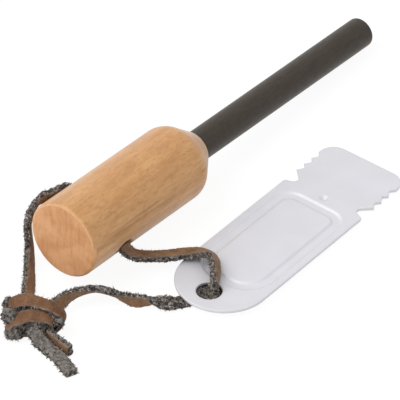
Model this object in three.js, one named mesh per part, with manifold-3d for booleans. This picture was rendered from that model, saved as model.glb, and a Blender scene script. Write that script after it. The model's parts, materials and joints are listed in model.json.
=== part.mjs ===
// Ferro rod fire starter: a turned wooden handle with a glued ferrocerium rod, and a pressed steel
// striker tied on with a flat leather lace. It lies on a table, in millimetres, +Z up and the rod
// along +X. The origin is the middle of the footprint of handle, rod and striker.
import * as THREE from 'three';
import { mergeVertices } from 'three/addons/utils/BufferGeometryUtils.js';
import Module from 'manifold-3d';

const wasm = await Module();
wasm.setup();

// Driving dimensions of the wooden handle
const handle_length = 62.5;
const handle_diameter = 25;
const butt_round = 1.7;
const nose_length = 8.5;
const nose_face_diameter = 12.6;
const nose_blend_radius = 6.7;

// Ferrocerium rod and the epoxy that holds it in its blind bore
const rod_diameter = 10;
const rod_exposed_length = 87.5;
const rod_buried_length = 33;
const rod_rim_round = 0.8;
const epoxy_film = 0.45;
const bond_gap = 0.15;
const bore_end_gap = 0.3;

// Cross hole for the lace, through the handle near its butt
const lace_hole_diameter = 7;
const lace_hole_from_butt = 15.7;
const lace_hole_lean_deg = 29;
const lace_hole_chamfer = 0.5;

// Pressed steel striker, measured from the middle of its lace hole
const striker_width = 30;
const striker_sheet = 1;
const striker_hole_diameter = 8;
const striker_hole_to_tip = 7.9;
const striker_shoulder = 56.9;
const striker_shoulder_round = 1.1;
const striker_neck_width = 23.2;
const striker_neck_root_radius = 1.7;
const striker_neck_root = 59;
const striker_neck_root_from_deg = -156;
const striker_neck_root_to_deg = -29;
const striker_head_end = 80.4;
const striker_head_round = 5.5;
const tooth_first = 62.8;
const tooth_pitch = 3.8;
const tooth_gaps = 3;
const tooth_depth = 1.35;
const tooth_valley_share = 0.6;
const groove_start = 6;
const groove_end = 53.3;
const groove_width = 23.8;
const groove_near_radius = 9.6;
const groove_far_radius = 5.8;
const groove_floor_width = 1.8;
const groove_depth = 1;
const groove_wall_run = 1;
const dimple_radius = 1.7;
const dimple_depth = 0.5;
const dimple_from_hole = 56.9;

// Where the striker lies beside the handle
const striker_side_offset = 38.9;
const striker_from_butt = 21.45;

// Flat leather lace
const lace_width = 4;
const lace_thickness = 1.8;
const knot_band_thickness = 1.2;
const lace_edge_chamfer_share = 0.28;
const lace_step = 3.6;
const lace_seat_gap = 0.3;
const lace_end_inset = 2.4;
const lace_seat_from_hole = 6;

// Facets and the overrun that lets a cut pass clean through
const round_segments = 64;
const rod_segments = 48;
const arc_segments = 7;
const hole_segments = 32;
const cut_overrun = 2;

const handle_radius = handle_diameter / 2;
const rod_radius = rod_diameter / 2;
const bore_radius = rod_radius + bond_gap + epoxy_film + bond_gap;
const rod_start = handle_length - rod_buried_length;
const rod_tip = handle_length + rod_exposed_length;
const lace_hole_radius = lace_hole_diameter / 2;
const lace_hole_lean = THREE.MathUtils.degToRad(lace_hole_lean_deg);
const striker_half_width = striker_width / 2;

function finish(color, roughness, metalness) {
  return new THREE.MeshStandardMaterial({ color, roughness, metalness });
}

const beech = finish(0xd2a573, 0.6, 0);
const ferrocerium = finish(0x4b4640, 0.45, 0.6);
const epoxy = finish(0xcdbd92, 0.4, 0);
const steel = finish(0xdedde3, 0.35, 0.6);
const leather = finish(0x8a6248, 0.85, 0);

function piece(name, geometry, material) {
  const mesh = new THREE.Mesh(geometry, material);
  mesh.name = name;
  return mesh;
}

function to_solid(geometry) {
  const bare = geometry.clone();
  bare.deleteAttribute('normal');
  bare.deleteAttribute('uv');
  const merged = mergeVertices(bare);
  const vertProperties = new Float32Array(merged.attributes.position.array);
  const triVerts = new Uint32Array(merged.index.array);
  return new wasm.Manifold(new wasm.Mesh({ numProp: 3, vertProperties, triVerts }));
}

function to_geometry(solid) {
  const mesh = solid.getMesh();
  const geometry = new THREE.BufferGeometry();
  geometry.setAttribute('position', new THREE.BufferAttribute(mesh.vertProperties, 3));
  geometry.setIndex(new THREE.BufferAttribute(mesh.triVerts, 1));
  return geometry;
}

function arc(center_x, center_y, radius, from, to, segments = arc_segments) {
  const points = [];
  for (let i = 0; i <= segments; i += 1) {
    const angle = from + (to - from) * i / segments;
    points.push([center_x + radius * Math.cos(angle), center_y + radius * Math.sin(angle)]);
  }
  return points;
}

// Turns a profile of [along, radius] points about the X axis
function turned(profile, segments) {
  const points = profile.map(([along, radius]) => new THREE.Vector2(Math.max(radius, 0), along));
  const geometry = new THREE.LatheGeometry(points, segments);
  geometry.rotateZ(-Math.PI / 2);
  return geometry;
}

// The nose is a cone blended into the cylinder, and the blend is what the handle rests on
const nose_slope = Math.atan2(handle_radius - nose_face_diameter / 2, nose_length);
const nose_blend_x = handle_length - nose_length - nose_blend_radius * Math.tan(nose_slope / 2);
const nose_blend_r = handle_radius - nose_blend_radius;

function handle_blank() {
  const profile = [
    [0, 0],
    ...arc(butt_round, handle_radius - butt_round, butt_round, Math.PI, Math.PI / 2),
    ...arc(nose_blend_x, nose_blend_r, nose_blend_radius, Math.PI / 2, Math.PI / 2 - nose_slope),
    [handle_length, nose_face_diameter / 2],
    [handle_length, 0],
  ];
  return turned(profile, round_segments);
}

function rod_bore() {
  const bottom = rod_start - bore_end_gap;
  const mouth = handle_length + cut_overrun;
  return turned([[bottom, 0], [bottom, bore_radius], [mouth, bore_radius], [mouth, 0]], rod_segments);
}

function lace_hole() {
  const surface = handle_radius - lace_hole_chamfer;
  const reach = handle_radius + cut_overrun;
  const mouth = lace_hole_radius + lace_hole_chamfer + cut_overrun;
  const profile = [
    [-reach, 0],
    [-reach, mouth],
    [-surface, lace_hole_radius],
    [surface, lace_hole_radius],
    [reach, mouth],
    [reach, 0],
  ];
  const geometry = turned(profile, hole_segments);
  geometry.rotateZ(Math.PI / 2);
  geometry.rotateX(lace_hole_lean);
  geometry.translate(lace_hole_from_butt, 0, 0);
  return geometry;
}

function make_handle() {
  const solid = to_solid(handle_blank()).subtract(to_solid(rod_bore())).subtract(to_solid(lace_hole()));
  return piece('handle', to_geometry(solid), beech);
}

function make_rod() {
  const rim = rod_radius - rod_rim_round;
  const profile = [
    [rod_start, 0],
    ...arc(rod_start + rod_rim_round, rim, rod_rim_round, Math.PI, Math.PI / 2),
    ...arc(rod_tip - rod_rim_round, rim, rod_rim_round, Math.PI / 2, 0),
    [rod_tip, 0],
  ];
  return piece('ferro_rod', turned(profile, rod_segments), ferrocerium);
}

function make_epoxy() {
  const inner = rod_radius + bond_gap;
  const outer = inner + epoxy_film;
  const end = handle_length - bore_end_gap;
  const ring = [[rod_start, inner], [rod_start, outer], [end, outer], [end, inner], [rod_start, inner]];
  return piece('rod_epoxy', turned(ring, rod_segments), epoxy);
}

// One long edge of the striker, from its round end to its head, on the +Y side
function striker_edge() {
  const half = striker_half_width;
  const shoulder_x = striker_shoulder - striker_shoulder_round;
  const root_y = striker_neck_width / 2 + striker_neck_root_radius;
  const root_from = THREE.MathUtils.degToRad(striker_neck_root_from_deg);
  const root_to = THREE.MathUtils.degToRad(striker_neck_root_to_deg);
  const head_x = striker_head_end - striker_head_round;
  const edge = [
    ...arc(shoulder_x, half - striker_shoulder_round, striker_shoulder_round, Math.PI / 2, 0),
    ...arc(striker_neck_root, root_y, striker_neck_root_radius, root_from, root_to),
  ];
  for (let i = 0; i < tooth_gaps; i += 1) {
    const tip = tooth_first + i * tooth_pitch;
    const valley = tip + tooth_valley_share * tooth_pitch;
    edge.push([tip, half]);
    edge.push([(tip + valley) / 2, half - tooth_depth * tooth_valley_share]);
    edge.push([valley, half - tooth_depth]);
  }
  edge.push([tooth_first + tooth_gaps * tooth_pitch, half]);
  edge.push(...arc(head_x, half - striker_head_round, striker_head_round, Math.PI / 2, 0));
  return edge;
}

function striker_blank() {
  const edge = striker_edge();
  const mirrored = edge.map(([x, y]) => [x, -y]).reverse();
  const end_x = striker_half_width - striker_hole_to_tip;
  const quarter = Math.PI / 2;
  const tip = arc(end_x, 0, striker_half_width, -quarter, -3 * quarter, hole_segments);
  const outline = [...edge, ...mirrored, ...tip].reverse().map(([x, y]) => new THREE.Vector2(x, y));
  const shape = new THREE.Shape(outline);
  const ring = arc(0, 0, striker_hole_diameter / 2, 0, -Math.PI * 2, hole_segments).slice(1);
  shape.holes.push(new THREE.Path(ring.map(([x, y]) => new THREE.Vector2(x, y))));
  return new THREE.ExtrudeGeometry(shape, { depth: striker_sheet, bevelEnabled: false });
}

// A rounded rectangle along the outer edge of the pressed groove's floor, grown outwards by a margin
function groove_ring(margin) {
  const near_x = groove_start + groove_near_radius;
  const near_y = groove_width / 2 - groove_near_radius;
  const near = groove_near_radius + margin;
  const far_x = groove_end - groove_far_radius;
  const far_y = groove_width / 2 - groove_far_radius;
  const far = groove_far_radius + margin;
  const quarter = Math.PI / 2;
  return [
    ...arc(far_x, far_y, far, 0, quarter),
    ...arc(near_x, near_y, near, quarter, quarter * 2),
    ...arc(near_x, -near_y, near, quarter * 2, quarter * 3),
    ...arc(far_x, -far_y, far, quarter * 3, quarter * 4),
  ];
}

// A closed block between a lower ring and a wider upper ring of as many points
function tapered_block(low_ring, low_z, high_ring, high_z) {
  const count = low_ring.length;
  const positions = [];
  low_ring.forEach(([x, y]) => positions.push(x, y, low_z));
  high_ring.forEach(([x, y]) => positions.push(x, y, high_z));
  const index = [];
  for (let i = 0; i < count; i += 1) {
    const next = (i + 1) % count;
    index.push(i, next, count + next);
    index.push(i, count + next, count + i);
  }
  for (let i = 1; i < count - 1; i += 1) {
    index.push(0, i + 1, i);
    index.push(count, count + i, count + i + 1);
  }
  const geometry = new THREE.BufferGeometry();
  geometry.setAttribute('position', new THREE.BufferAttribute(new Float32Array(positions), 3));
  geometry.setIndex(index);
  return geometry;
}

// The groove runs round a flat middle that stays level with the rim
function groove_cut() {
  const floor_z = striker_sheet - groove_depth;
  const run_share = groove_wall_run / groove_depth;
  const high = striker_sheet + groove_depth;
  const low = floor_z - groove_depth;
  const outer = tapered_block(groove_ring(0), floor_z, groove_ring(run_share * (high - floor_z)), high);
  const inner_low = groove_ring(run_share * groove_depth - groove_floor_width);
  const inner_high = groove_ring(-groove_floor_width - run_share * (high - floor_z));
  return to_solid(outer).subtract(to_solid(tapered_block(inner_low, low, inner_high, high)));
}

// Below the sheet the groove stands out as a closed foot
function groove_foot() {
  const wall = groove_wall_run / 2;
  const rise = striker_sheet / 2;
  const run_share = groove_wall_run / (groove_depth + rise);
  const outer = tapered_block(groove_ring(wall), -groove_depth, groove_ring(wall + groove_wall_run), rise);
  const inner_edge = -groove_floor_width - wall;
  const inner_low = groove_ring(inner_edge + run_share * groove_depth);
  const inner_high = groove_ring(inner_edge - run_share * groove_depth);
  return to_solid(outer).subtract(to_solid(tapered_block(inner_low, -2 * groove_depth, inner_high, 0)));
}

function make_striker() {
  const ball_radius = (dimple_radius ** 2 + dimple_depth ** 2) / (2 * dimple_depth);
  const ball = new THREE.SphereGeometry(ball_radius, round_segments, round_segments);
  ball.rotateX(Math.PI / 2);
  ball.translate(dimple_from_hole, 0, striker_sheet - dimple_depth + ball_radius);
  const solid = to_solid(striker_blank()).add(groove_foot()).subtract(groove_cut())
    .subtract(to_solid(ball));
  return piece('striker', to_geometry(solid), steel);
}

// Handle and rod lie on the nose blend and on the rim of the rod's tip, so the axis slopes down
const rest_run = rod_tip - rod_rim_round - nose_blend_x;
const rest_rise = nose_blend_r - (rod_radius - rod_rim_round);
const rest_drop = nose_blend_radius - rod_rim_round;
const axis_slope = Math.asin(rest_drop / Math.hypot(rest_run, rest_rise)) + Math.atan2(rest_rise, rest_run);
const butt_height = nose_blend_x * Math.sin(axis_slope) + nose_blend_r * Math.cos(axis_slope)
  + nose_blend_radius;

// The striker lies on the far end of its groove and on the lace that passes under its round end
const groove_seat = groove_end + groove_wall_run / 2;
const seat_run = lace_seat_from_hole + groove_seat;
const seat_height = lace_thickness + lace_seat_gap;
const striker_slope = Math.asin(seat_height / Math.hypot(seat_run, groove_depth))
  - Math.atan2(groove_depth, seat_run);
const striker_height = groove_seat * Math.sin(striker_slope) + groove_depth * Math.cos(striker_slope);

// The origin is the middle of the footprint of the rigid pieces
const footprint_back = (handle_radius - butt_round) * Math.sin(axis_slope)
  + butt_round * (1 - Math.cos(axis_slope));
const footprint_front = (rod_tip - rod_rim_round) * Math.cos(axis_slope)
  + (rod_radius - rod_rim_round) * Math.sin(axis_slope) + rod_rim_round;
const butt_x = -(footprint_front - footprint_back) / 2;
const axis_y = (striker_side_offset + striker_half_width - handle_radius) / 2;

// The lace's mouths in the handle, and the direction from the lower right one to the upper left one
const mouth_x = butt_x + lace_hole_from_butt * Math.cos(axis_slope);
const mouth_z = butt_height - lace_hole_from_butt * Math.sin(axis_slope);
const mouth_y_reach = handle_radius * Math.cos(lace_hole_lean);
const mouth_z_reach = handle_radius * Math.sin(lace_hole_lean);

// Lace routes: a point of the lace's middle, then the direction that its smooth side faces
const left_run = [
  [-58.85, 30.25, 20.35, -1, 0, 0],
  [-59.3, 31.65, 20.95, -0.95, -0.3, -0.1],
  [-60.4, 32.5, 21, -0.75, -0.58, -0.32],
  [-61.9, 33, 21.2, -0.3, -0.84, -0.46],
  [-63.5, 33.15, 21.35, 0, -0.875, -0.485],
  [-65.3, 33.5, 21.3, 0.05, -0.93, -0.35],
  [-67.2, 34.2, 21.2, 0.2, -0.96, -0.15],
  [-68.8, 34.9, 20.5, 0.35, -0.93, 0],
  [-70, 35.5, 18.9, 0.5, -0.86, 0],
  [-70.7, 36.2, 16.8, 0.58, -0.8, 0],
  [-71, 36.9, 13.9, 0.6, -0.78, 0],
  [-71.1, 37.2, 10.4, 0.6, -0.78, 0],
  [-71.5, 36.7, 7, 0.55, -0.78, 0.1],
  [-72.8, 35.4, 4.6, 0.5, -0.8, 0.25],
  [-75.7, 33, 3, 0.5, -0.75, 0.4],
  [-79.7, 29.7, 2.7, 0.5, -0.7, 0.5],
  [-84.1, 26.1, 3.2, 0.45, -0.65, 0.6],
  [-88.1, 23.1, 4, 0.4, -0.6, 0.7],
  [-90.3, 20.9, 4.3, 0.4, -0.6, 0.7],
  [-92.9, 18.7, 4.3, 0.4, -0.6, 0.7],
];
const right_run = [
  [-58.9, 10.4, 9.6, 0, -0.49, 0.87],
  [-58.8, 9.3, 8.6, 0, -0.4, 0.92],
  [-57.4, 7.6, 6.7, 0, -0.15, 0.99],
  [-54.4, 5.6, 5, 0.05, 0.05, 1],
  [-50.9, 2.6, 4.3, 0.09, 0.07, 1],
  [-47.2, -0.9, 4.3, 0.1, 0.07, 1],
  [-44.5, -4.1, 4.8, 0.15, -0.02, 1],
  [-43.1, -6.8, 5.4, 0.3, -0.2, 0.93],
  [-42.6, -9.2, 5.9, 0.45, -0.42, 0.79],
  [-43, -11.8, 6.2, 0.5, -0.62, 0.6],
  [-45.1, -14.3, 6.1, 0.5, -0.68, 0.54],
  [-47.6, -16.5, 5.9, 0.52, -0.74, 0.42],
  [-49.5, -17.9, 5.4, 0.58, -0.77, 0.25],
  [-51.1, -18.8, 4.4, 0.8, -0.6, 0],
  [-51.3, -18.9, 3.3, 0.85, -0.5, 0],
];
const under_run = [
  [-51.3, -18.9, 2.7, 0.87, -0.48, 0],
  [-51.35, -18.9, 2.1, 0.85, -0.48, -0.2],
  [-51.9, -18.6, 1.3, 0.6, -0.4, -0.7],
  [-53.2, -17.9, 0.95, 0.1, -0.05, -1],
  [-56.4, -16.1, 0.93, 0, 0, -1],
  [-59.2, -14.4, 0.95, 0, 0, -1],
  [-61.9, -12.8, 0.99, 0, 0, -1],
  [-63.9, -11.5, 1.7, 0.3, 0.24, -0.92],
  [-65.2, -10.1, 2.1, 0.15, 0.12, -0.98],
  [-66.3, -8.3, 2.2, -0.3, -0.24, -0.92],
  [-67.3, -6.4, 2.1, -0.7, -0.56, -0.45],
  [-68.5, -4.8, 2.1, -0.78, -0.62, -0.05],
  [-69.8, -3.2, 2.1, -0.78, -0.62, 0],
  [-70.6, -1.2, 2.3, -0.78, -0.6, -0.15],
  [-71.3, 1, 2.6, -0.68, -0.54, -0.5],
  [-72, 3.1, 3, -0.5, -0.4, -0.77],
  [-72.9, 5, 3.5, -0.48, -0.38, -0.79],
  [-74.3, 7.4, 3.9, -0.48, -0.38, -0.79],
  [-76.4, 9.5, 4, -0.6, -0.48, -0.64],
  [-78.9, 11.1, 4, -0.72, -0.57, -0.39],
  [-81.6, 12.1, 4, -0.78, -0.62, -0.09],
  [-84.6, 12.6, 4, -0.76, -0.6, 0.26],
  [-87, 12.8, 4, -0.76, -0.6, 0.26],
  [-90.4, 13, 4, -0.76, -0.6, 0.26],
];
const knot_upper_wrap = [
  [-99.1, 22.5, 2.2, -0.6, 0.8, -0.2],
  [-98.5, 21.9, 3.8, -0.6, 0.7, 0.3],
  [-98.1, 21.3, 5.8, -0.65, 0.35, 0.65],
  [-97.2, 20.5, 7.4, -0.62, 0.1, 0.78],
  [-96.3, 18.9, 8.6, -0.5, -0.15, 0.85],
  [-95.5, 17, 9.2, -0.4, -0.25, 0.88],
  [-95, 14.9, 9.5, -0.25, -0.3, 0.92],
  [-94.4, 12.8, 9.5, -0.1, -0.28, 0.95],
  [-93.7, 10.6, 9.2, 0, -0.32, 0.95],
  [-92.9, 8.8, 8.4, 0.1, -0.45, 0.88],
  [-92, 7.4, 7, 0.25, -0.65, 0.7],
  [-91.6, 6.6, 5, 0.4, -0.88, 0.25],
  [-92, 6.9, 3, 0.45, -0.88, -0.1],
];
const knot_lower_wrap = [
  [-103.5, 18.6, 1.9, -0.5, 0.75, 0.3],
  [-103, 18.1, 2.8, -0.3, 0.7, 0.65],
  [-102.4, 17.3, 3.8, -0.2, 0.62, 0.75],
  [-101.6, 16.4, 5, -0.25, 0.45, 0.86],
  [-100.3, 15.2, 6.4, -0.5, 0, 0.86],
  [-99, 13.7, 7.1, -0.4, -0.22, 0.89],
  [-98, 12, 7.3, -0.3, -0.25, 0.92],
  [-96.9, 10.2, 7.2, -0.2, -0.38, 0.9],
  [-95.7, 8.7, 6.7, 0, -0.5, 0.86],
  [-95, 8, 5.8, 0.25, -0.8, 0.5],
  [-94.8, 7.9, 4.6, 0.42, -0.9, -0.05],
];
const long_tail = [
  [-100.6, 11.1, 4.5, 0.3, 0.3, -0.9],
  [-101.3, 8.9, 3.4, 0.25, 0.2, -0.95],
  [-101.7, 6.5, 2.3, 0.2, 0.1, -0.97],
  [-101.9, 4.2, 1.5, 0.1, 0.1, -1],
  [-102.2, 1.4, 1.2, 0, 0, -1],
  [-103, -1.7, 1.1, 0, 0, -1],
  [-104.3, -5.1, 1.1, 0, 0, -1],
  [-105.7, -8.3, 1.2, 0, 0, -1],
];
const short_tail = [
  [-97.3, 7.7, 2.2, -0.95, 0.32, -0.05],
  [-97.8, 5.5, 2.2, -0.95, 0.32, -0.05],
  [-98.3, 3.1, 2.15, -0.95, 0.32, -0.05],
  [-98.7, 0.6, 2.1, -0.95, 0.32, 0],
  [-99.1, -2.1, 2.1, -0.95, 0.32, 0],
];

// A curve whose frames follow the direction that the lace's smooth side faces
class LaceRoute extends THREE.CatmullRomCurve3 {
  constructor(rows) {
    super(rows.map(([x, y, z]) => new THREE.Vector3(x, y, z)), false, 'centripetal');
    this.facing = rows.map((row) => new THREE.Vector3(row[3], row[4], row[5]));
  }

  facingAt(u) {
    const place = this.getUtoTmapping(u) * (this.facing.length - 1);
    const low = Math.min(Math.floor(place), this.facing.length - 2);
    return this.facing[low].clone().lerp(this.facing[low + 1], place - low);
  }

  computeFrenetFrames(segments) {
    const frames = { tangents: [], normals: [], binormals: [] };
    for (let i = 0; i <= segments; i += 1) {
      const tangent = this.getTangentAt(i / segments);
      const across = this.facingAt(i / segments).cross(tangent).normalize();
      frames.tangents.push(tangent);
      frames.normals.push(across);
      frames.binormals.push(tangent.clone().cross(across));
    }
    return frames;
  }
}

function lace_section(thickness) {
  const x = lace_width / 2;
  const y = thickness / 2;
  const cut = thickness * lace_edge_chamfer_share;
  return new THREE.Shape([
    new THREE.Vector2(x, cut - y),
    new THREE.Vector2(x, y - cut),
    new THREE.Vector2(x - cut, y),
    new THREE.Vector2(cut - x, y),
    new THREE.Vector2(-x, y - cut),
    new THREE.Vector2(-x, cut - y),
    new THREE.Vector2(cut - x, -y),
    new THREE.Vector2(x - cut, -y),
  ]);
}

function make_lace(name, rows, thickness = lace_thickness) {
  const route = new LaceRoute(rows);
  const steps = Math.max(2, Math.round(route.getLength() / lace_step));
  const settings = { steps, extrudePath: route, bevelEnabled: false };
  const geometry = new THREE.ExtrudeGeometry(lace_section(thickness), settings);
  return piece(name, geometry, leather);
}

// The lace crosses the handle in its hole, and turns a quarter on the way
const crossing_shares = [1, 0.5, 0, -0.5, -1];

function handle_crossing() {
  const rows = [];
  const inset = 1 - lace_end_inset / handle_radius;
  crossing_shares.forEach((share) => {
    const side = share * inset;
    const turn = (1 - share) * Math.PI / 4;
    const lean_y = -Math.sin(lace_hole_lean) * Math.sin(turn);
    const lean_z = Math.cos(lace_hole_lean) * Math.sin(turn);
    rows.push([mouth_x, axis_y + side * mouth_y_reach, mouth_z + side * mouth_z_reach,
      -Math.cos(turn), lean_y, lean_z]);
  });
  return rows;
}

// The heart of the knot, hidden under its wraps
const knot_core_center = [-95.6, 14.3, 3.3];
const knot_core_half_length = 6.4;
const knot_core_half_depth = 3.8;
const knot_core_half_height = 3.1;
const knot_core_turn_deg = -57;
const knot_core_segments = 20;

function make_knot_core() {
  const geometry = new THREE.SphereGeometry(1, knot_core_segments, knot_core_segments / 2);
  geometry.rotateX(Math.PI / 2);
  geometry.scale(knot_core_half_length, knot_core_half_depth, knot_core_half_height);
  geometry.rotateZ(THREE.MathUtils.degToRad(knot_core_turn_deg));
  geometry.translate(...knot_core_center);
  return piece('knot_core', geometry, leather);
}

const handle_group = new THREE.Group();
handle_group.add(make_handle(), make_rod(), make_epoxy());
handle_group.position.set(butt_x, axis_y, butt_height);
handle_group.rotation.y = axis_slope;

const striker_group = new THREE.Group();
striker_group.add(make_striker());
striker_group.position.set(butt_x + striker_from_butt, axis_y - striker_side_offset, striker_height);
striker_group.rotation.y = striker_slope;

const lace_group = new THREE.Group();
lace_group.add(make_lace('lace_in_handle', handle_crossing()));
lace_group.add(make_lace('lace_left_run', left_run));
lace_group.add(make_lace('lace_right_run', right_run));
lace_group.add(make_lace('lace_under_run', under_run));
lace_group.add(make_lace('knot_upper_wrap', knot_upper_wrap, knot_band_thickness));
lace_group.add(make_lace('knot_lower_wrap', knot_lower_wrap, knot_band_thickness));
lace_group.add(make_knot_core());
lace_group.add(make_lace('lace_tail_long', long_tail));
lace_group.add(make_lace('lace_tail_short', short_tail));

const fire_starter = new THREE.Group();
fire_starter.add(handle_group, striker_group, lace_group);

export default fire_starter;
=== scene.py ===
# Ferro rod fire starter: the finish of the beech handle, the rod, the pressed striker and the leather
# lace, in metres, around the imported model.
import json
import math
import random

import bmesh
import bpy
import numpy as np
from mathutils import Matrix, Vector, noise
from mathutils.geometry import delaunay_2d_cdt


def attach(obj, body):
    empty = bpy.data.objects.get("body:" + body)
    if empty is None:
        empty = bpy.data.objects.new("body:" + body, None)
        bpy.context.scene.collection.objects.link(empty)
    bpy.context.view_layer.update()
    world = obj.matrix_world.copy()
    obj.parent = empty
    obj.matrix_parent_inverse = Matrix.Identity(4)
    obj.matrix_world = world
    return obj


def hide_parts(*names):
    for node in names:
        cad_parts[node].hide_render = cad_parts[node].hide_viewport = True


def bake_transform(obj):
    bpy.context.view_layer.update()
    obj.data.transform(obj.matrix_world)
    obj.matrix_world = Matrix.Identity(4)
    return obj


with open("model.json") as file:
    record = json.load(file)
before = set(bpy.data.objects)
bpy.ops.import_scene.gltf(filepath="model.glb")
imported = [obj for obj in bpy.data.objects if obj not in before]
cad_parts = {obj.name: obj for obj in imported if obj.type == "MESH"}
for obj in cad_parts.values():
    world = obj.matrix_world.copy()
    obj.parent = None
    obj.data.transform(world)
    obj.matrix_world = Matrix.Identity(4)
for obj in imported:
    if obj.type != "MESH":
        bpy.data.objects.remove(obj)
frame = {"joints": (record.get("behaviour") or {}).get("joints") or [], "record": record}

MM = 0.001
QUARTER = math.pi / 2
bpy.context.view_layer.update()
mounts = {mount["name"]: mount for mount in frame["record"]["mounts"]}
joints = {joint["name"]: joint for joint in frame["joints"]}

# Places that the frame gives
butt = Vector(mounts["butt_face"]["pos_m"])
rod_end = Vector(mounts["rod_tip_face"]["pos_m"])
rod_axis = (rod_end - butt).normalized()
axis_slope = math.asin(-rod_axis.z)
hole_middle = Vector(joints["striker_swing"]["pos_m"])
striker_up = Vector(joints["striker_swing"]["axis"]).normalized()

# Handle
handle_length = 62.5 * MM
handle_radius = 12.5 * MM
butt_round = 0.95 * MM
# The butt's ridge: the depth of its painted highlight line, then the direction of the side that faces the
# light, where that line and the lighter side wood go.
rim_line_depth = 0.17 * MM
rim_light_z = 0.95
rim_light_y = 0.3
rim_light_from = -0.1
nose_length = 8.5 * MM
nose_face_radius = 6.3 * MM
nose_blend_radius = 6.7 * MM
lace_hole_radius = 3.5 * MM
lace_hole_from_butt = 15.7 * MM
lace_hole_lean = math.radians(29)
lace_hole_chamfer = 0.5 * MM
handle_segments = 144
lace_hole_segments = 64
rod_segments = 96
turned_step = 2 * MM
butt_step = 1.5 * MM
butt_segments = 12
nose_segments = 16
cut_margin = 2 * MM

# Rod and resin
rod_radius = 5 * MM
rod_buried_length = 33 * MM
rod_rim_round = 0.8 * MM
bore_radius = 5.75 * MM
resin_inset = 0.3 * MM
resin_play = 0.15 * MM

# Striker
striker_half_width = 15 * MM
striker_sheet = 1 * MM
striker_hole_radius = 4 * MM
striker_hole_to_tip = 7.9 * MM
striker_shoulder = 56.9 * MM
striker_shoulder_round = 1.1 * MM
striker_neck_half_width = 11.6 * MM
striker_neck_root = 59 * MM
striker_neck_root_radius = 1.7 * MM
striker_neck_root_from = math.radians(-156)
striker_neck_root_to = math.radians(-29)
striker_head_end = 80.4 * MM
striker_head_round = 5.5 * MM
tooth_first = 62.8 * MM
tooth_pitch = 3.8 * MM
tooth_gaps = 3
tooth_depth = 1.35 * MM
tooth_valley_share = 0.6
groove_start = 6 * MM
groove_end = 53.3 * MM
groove_half_width = 11.9 * MM
groove_near_radius = 9.6 * MM
groove_far_radius = 5.8 * MM
groove_depth = 0.5 * MM
groove_wall_run = 0.75 * MM
groove_floor_width = 2.2 * MM
groove_wall_rounding = 0.2 * MM
dimple_radius = 1.7 * MM
dimple_depth = 0.7 * MM
dimple_from_hole = 56.9 * MM
edge_round = 0.2 * MM
flat_margin = 0.3 * MM
hole_segments = 72
round_end_segments = 72
head_segments = 16
corner_segments = 10
groove_near_segments = 20
groove_far_segments = 14
dimple_segments = 32
dimple_steps = 6
groove_steps = 10
least_gap = 0.02 * MM
edge_corner_share = 0.3

# Lace
lace_half_width = 2 * MM
lace_half_thickness = 0.9 * MM
lace_step = 0.3 * MM
spline_points = 24
lace_section_points = 44
section_angles = 720
lace_corner_power = 0.4
lace_grain_share = 0.78
band_grain_share = 0.88
smooth_side_from = 0.4
band_edge_from = 0.9
band_edge_low = -0.8
suede_from = -0.5
rough_edge_from = 0.78
rough_edge_run = 0.2
rough_edge_share = 0.5
rough_side_from = 0.8
rough_side_run = 0.4
flesh_swell = 0.35 * MM
under_swell_start = 12 * MM
swell_run = 2 * MM
band_half_thickness = 0.6 * MM
nap_coarse_height = 0.62 * MM
nap_fine_height = 0.22 * MM
nap_coarse_size = 1.3 * MM
nap_fine_size = 0.42 * MM
nap_depths = {"run": 1, "band": 0.25, "tail": 0.75}
floor_gap = 0.03 * MM
fibre_widths = (0.1, 0.19)
fibre_lengths = (0.35, 0.9)
long_fibre_share = 0.04
long_fibre_factor = 1.5
edge_fibre_share = 0.6
run_fibres_per_mm = 60
tail_fibres_per_mm = 30
band_fibres_per_mm = 10
fold_fibres = 190
fold_swell = 0.6 * MM
fold_swell_size = 2.6 * MM


def in_metres(values):
    return tuple(value * MM for value in values)


def lace_rows(rows):
    return [(*in_metres(row[:3]), *row[3:]) for row in rows]


# Each row is a point of the lace's middle in millimetres, then the direction that its smooth side faces
left_run = lace_rows([
    (-58.85, 30.25, 20.35, -1, 0, 0),
    (-59.3, 31.65, 20.95, -0.95, -0.3, -0.1),
    (-60.4, 32.5, 21, -0.75, -0.58, -0.32),
    (-61.9, 33, 21.2, -0.3, -0.84, -0.46),
    (-63.5, 33.15, 21.35, 0, -0.875, -0.485),
    (-65.3, 33.5, 21.3, 0.05, -0.93, -0.35),
    (-67.2, 34.2, 21.2, 0.2, -0.96, -0.15),
    (-68.8, 34.9, 20.5, 0.35, -0.93, 0),
    (-70, 35.5, 18.9, 0.5, -0.86, 0),
    (-70.7, 36.2, 16.8, 0.58, -0.8, 0),
    (-71, 36.9, 13.9, 0.6, -0.78, 0),
    (-71.1, 37.2, 10.4, 0.6, -0.78, 0),
    (-71.5, 36.7, 7, 0.55, -0.78, 0.1),
    (-72.8, 35.4, 4.6, 0.5, -0.8, 0.25),
    (-75.7, 33, 3, 0.5, -0.75, 0.4),
    (-79.7, 29.7, 2.7, 0.5, -0.7, 0.5),
    (-84.1, 26.1, 3.2, 0.45, -0.65, 0.6),
    (-88.1, 23.1, 4, 0.4, -0.6, 0.7),
    (-90.3, 20.9, 4.3, 0.4, -0.6, 0.7),
    (-92.9, 18.7, 4.3, 0.4, -0.6, 0.7),
])
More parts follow.
